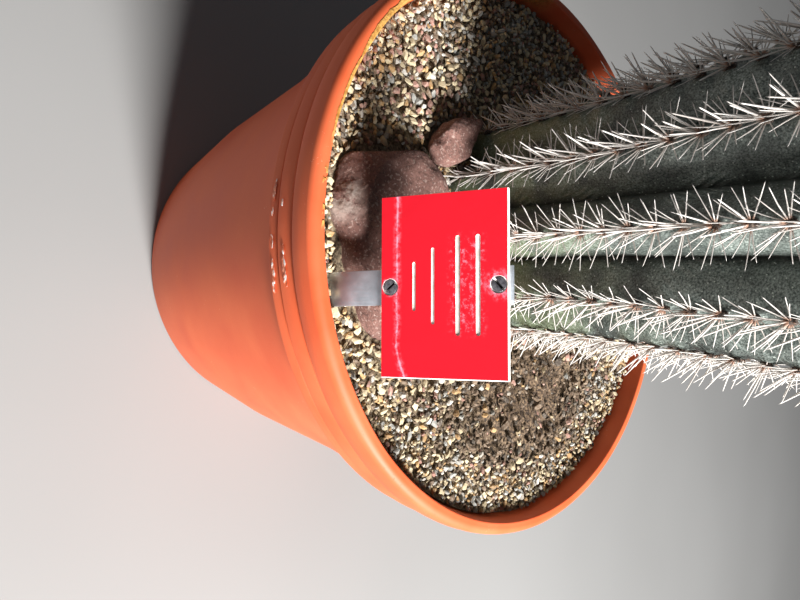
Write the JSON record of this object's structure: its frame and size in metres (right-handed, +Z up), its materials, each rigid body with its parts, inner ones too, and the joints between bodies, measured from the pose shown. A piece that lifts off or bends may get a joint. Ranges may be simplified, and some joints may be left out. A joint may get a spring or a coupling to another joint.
{
  "type": "young saguaro cactus in a pot",
  "caption": "Young columnar ribbed cactus with white spines, standing in a round terracotta-coloured plastic pot of fine gravel with stones and a blank red plant label.",
  "frame": {"origin": "centre of the pot's flat underside", "axes": "+Z up along the pot's axis; the plant label faces -Y"},
  "size_m": [0.32, 0.32, 0.6773],
  "materials": {
    "pot_plastic": "moulded, satin gloss",
    "gravel": "loose mixed grit, rough",
    "cactus_skin": "waxy grey-green skin",
    "spines": "pale bony spines on dark felt",
    "stone": "rough mauve-brown stone",
    "label_laminate": "two-layer laminate, worn satin",
    "label_bar": "brushed flat bar",
    "screws": "dulled zinc"
  },
  "bodies": {
    "root": {"pot": "pot_plastic", "gravel": "gravel", "stem": "cactus_skin", "spines_rib_01": "spines", "spines_rib_02": "spines", "spines_rib_03": "spines", "spines_rib_04": "spines", "spines_rib_05": "spines", "spines_rib_06": "spines", "spines_rib_07": "spines", "spines_rib_08": "spines", "spines_rib_09": "spines", "spines_rib_10": "spines", "spines_rib_11": "spines", "spines_rib_12": "spines", "crown_wool": "spines", "stone_slab": "stone", "stone_lobe": "stone", "label_plate": "label_laminate", "label_bar": "label_bar", "label_screw_lower": "screws", "label_screw_upper": "screws", "label_nut_lower": "screws", "label_nut_upper": "screws"}
  },
  "joints": []
}
